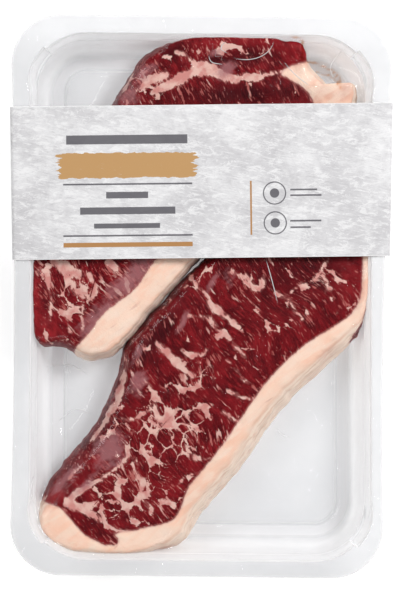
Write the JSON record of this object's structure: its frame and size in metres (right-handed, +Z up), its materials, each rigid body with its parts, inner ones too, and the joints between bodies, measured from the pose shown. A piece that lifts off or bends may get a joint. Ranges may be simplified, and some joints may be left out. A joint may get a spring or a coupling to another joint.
{
  "type": "steak skin pack",
  "caption": "Vacuum skin pack of raw striploin steaks: a clear tray with a wide flange, a clear skin film drawn down over the meat, and a board sleeve across it.",
  "frame": {"origin": "middle of the base of the bounding box, on the surface that the pack lies on", "axes": "+X across the tray, +Y along the tray towards the end that the sleeve is nearer, +Z up out of the tray's open face"},
  "size_m": [0.1774, 0.26, 0.0295],
  "materials": {
    "clear_plastic": "clear thermoformed plastic, slightly milky",
    "clear_film": "clear glossy skin film with fine wrinkles",
    "lean_meat": "dark red raw beef, wet under the film",
    "fat": "cream to peach beef fat, wet under the film",
    "sleeve_board": "matt printed board with a pale stone look"
  },
  "bodies": {
    "root": {"tray": "clear_plastic", "skin_film": "clear_film", "upper_steak_lean": "lean_meat", "upper_steak_fat": "fat", "lower_steak_lean": "lean_meat", "lower_steak_fat": "fat", "sleeve": "sleeve_board"}
  },
  "joints": []
}
